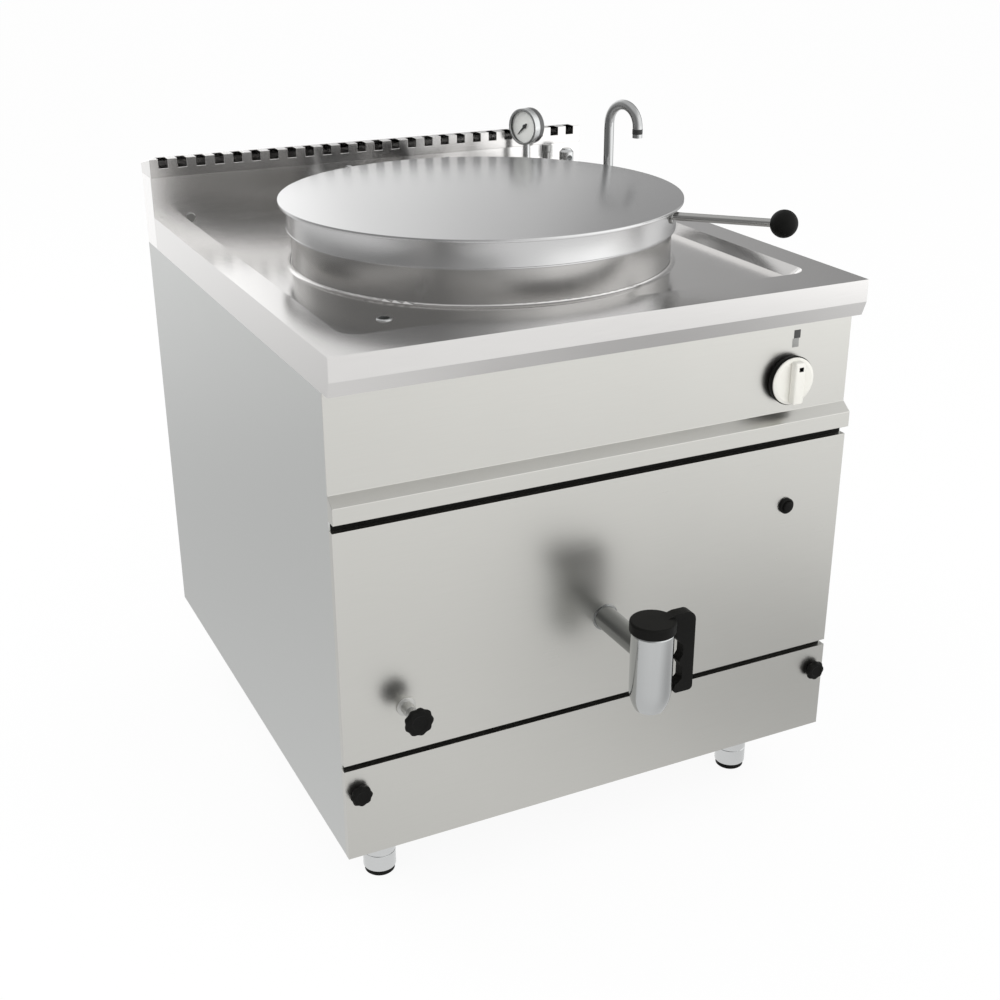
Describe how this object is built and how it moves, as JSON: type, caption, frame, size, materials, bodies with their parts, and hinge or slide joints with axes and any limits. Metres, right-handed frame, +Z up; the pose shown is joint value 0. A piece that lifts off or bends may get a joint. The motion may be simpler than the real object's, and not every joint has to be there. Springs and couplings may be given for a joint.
{
  "type": "steam jacketed kettle",
  "caption": "Floor-standing steam jacketed kettle: steel cabinet, round pan with hinged lid, draw-off tap, filling spout, gauge group and rear flue.",
  "frame": {"origin": "on the floor, in the middle of the outline seen from above", "axes": "+X to the right, +Y from the front with the tap to the rear flue, +Z up"},
  "size_m": [0.8, 1.0405, 1.033],
  "materials": {
    "brushed_panel": "satin brushed stainless sheet",
    "pan_steel": "fine polished stainless",
    "frame_steel": "plain stainless section",
    "pipe_steel": "drawn stainless tube",
    "bright_fittings": "bright plated casting",
    "dark_fittings": "dark satin coat",
    "cast_burner": "raw casting",
    "valve_body": "machined die casting",
    "mineral_wool": "pressed wool blanket",
    "black_plastic": "black moulded plastic",
    "pale_plastic": "pale moulded plastic",
    "dial_paint": "white dial enamel",
    "pointer_paint": "black enamel",
    "gauge_window": "clear flat glass"
  },
  "bodies": {
    "kettle": {"side_panel_left": "brushed_panel", "side_panel_right": "brushed_panel", "back_panel": "brushed_panel", "front_panel": "brushed_panel", "control_panel": "brushed_panel", "worktop": "brushed_panel", "flue_housing": "brushed_panel", "flue_grille": "brushed_panel", "pan": "pan_steel", "steam_jacket": "pan_steel", "base_frame": "frame_steel", "leg_front_left": "frame_steel", "leg_front_right": "frame_steel", "leg_back_left": "frame_steel", "leg_back_right": "frame_steel", "flue_shroud": "frame_steel", "flue_duct": "frame_steel", "hinge_bracket": "frame_steel", "hinge_pin": "frame_steel", "back_panel_screws": "frame_steel", "gas_pipe": "pipe_steel", "burner_pipe": "pipe_steel", "water_pipe": "pipe_steel", "level_pipe": "pipe_steel", "drain_pipe": "pipe_steel", "tap_body": "bright_fittings", "level_cock": "bright_fittings", "spout_base": "bright_fittings", "safety_manifold": "bright_fittings", "spill_drain": "bright_fittings", "cover_plug": "bright_fittings", "safety_valve": "bright_fittings", "air_valve": "dark_fittings", "gauge_case": "dark_fittings", "burner": "cast_burner", "gas_valve": "valve_body", "lagging": "mineral_wool", "igniter": "black_plastic", "gauge_dial": "dial_paint", "gauge_glass": "gauge_window"},
    "lid": {"lid": "pan_steel", "lid_arms": "pan_steel", "lid_handle": "pipe_steel", "handle_ball": "black_plastic"},
    "selector_push": {"selector_stem": "black_plastic"},
    "selector_dial": {"selector_knob": "pale_plastic"},
    "igniter_button": {"igniter_button": "black_plastic"},
    "tap_handle": {"tap_plug": "bright_fittings", "tap_handle": "black_plastic"},
    "level_knob": {"level_knob": "black_plastic", "level_spindle": "frame_steel"},
    "kick_panel": {"kick_panel": "brushed_panel"},
    "kick_knob_left": {"kick_knob_left": "black_plastic"},
    "kick_knob_right": {"kick_knob_right": "black_plastic"},
    "spout": {"spout": "bright_fittings"},
    "gauge_pointer": {"gauge_pointer": "pointer_paint"},
    "foot_front_left": {"foot_front_left": "frame_steel"},
    "foot_front_right": {"foot_front_right": "frame_steel"},
    "foot_back_left": {"foot_back_left": "frame_steel"},
    "foot_back_right": {"foot_back_right": "frame_steel"}
  },
  "joints": [
    {"name": "lid_hinge", "type": "hinge", "parent": "kettle", "child": "lid", "pos_m": [0, 0.396, 0.88], "axis": [-1, 0, 0], "range_deg": [0, 85]},
    {"name": "selector_push", "type": "slide", "parent": "kettle", "child": "selector_push", "axis": [0, 1, 0], "range_m": [0, 0.003], "stiffness_N_per_m": 900, "springref_m": -0.003},
    {"name": "selector_turn", "type": "hinge", "parent": "selector_push", "child": "selector_dial", "pos_m": [0.294, -0.37, 0.712], "axis": [0, -1, 0], "range_deg": [0, 180]},
    {"name": "igniter_push", "type": "slide", "parent": "kettle", "child": "igniter_button", "axis": [0, 1, 0], "range_m": [0, 0.004], "stiffness_N_per_m": 500, "springref_m": -0.003},
    {"name": "tap_turn", "type": "hinge", "parent": "kettle", "child": "tap_handle", "pos_m": [0, -0.486, 0.403], "axis": [0, 0, -1], "range_deg": [0, 90]},
    {"name": "level_turn", "type": "hinge", "parent": "kettle", "child": "level_knob", "pos_m": [-0.308, -0.38, 0.34], "axis": [0, -1, 0], "range_deg": [0, 360]},
    {"name": "kick_panel_pull", "type": "slide", "parent": "kettle", "child": "kick_panel", "axis": [0, -1, 0], "range_m": [0, 0.06]},
    {"name": "kick_knob_left_turn", "type": "hinge", "parent": "kick_panel", "child": "kick_knob_left", "pos_m": [-0.38, -0.362, 0.222], "axis": [0, -1, 0], "continuous": true},
    {"name": "kick_knob_right_turn", "type": "hinge", "parent": "kick_panel", "child": "kick_knob_right", "pos_m": [0.38, -0.362, 0.222], "axis": [0, -1, 0], "continuous": true},
    {"name": "spout_swing", "type": "hinge", "parent": "kettle", "child": "spout", "pos_m": [0.306, 0.189, 0.85], "axis": [0, 0, -1], "continuous": true},
    {"name": "pointer_turn", "type": "hinge", "parent": "kettle", "child": "gauge_pointer", "pos_m": [0.271, 0.421, 0.957], "axis": [0.9272, 0.3746, 0], "range_deg": [0, 270], "stiffness_Nm_per_rad": 0.002, "springref_deg": -20.05},
    {"name": "foot_front_left_turn", "type": "hinge", "parent": "kettle", "child": "foot_front_left", "pos_m": [-0.315, -0.252, 0.05], "axis": [0, 0, 1], "continuous": true},
    {"name": "foot_front_right_turn", "type": "hinge", "parent": "kettle", "child": "foot_front_right", "pos_m": [0.315, -0.252, 0.05], "axis": [0, 0, 1], "continuous": true},
    {"name": "foot_back_left_turn", "type": "hinge", "parent": "kettle", "child": "foot_back_left", "pos_m": [-0.315, 0.421, 0.05], "axis": [0, 0, 1], "continuous": true},
    {"name": "foot_back_right_turn", "type": "hinge", "parent": "kettle", "child": "foot_back_right", "pos_m": [0.315, 0.421, 0.05], "axis": [0, 0, 1], "continuous": true}
  ]
}
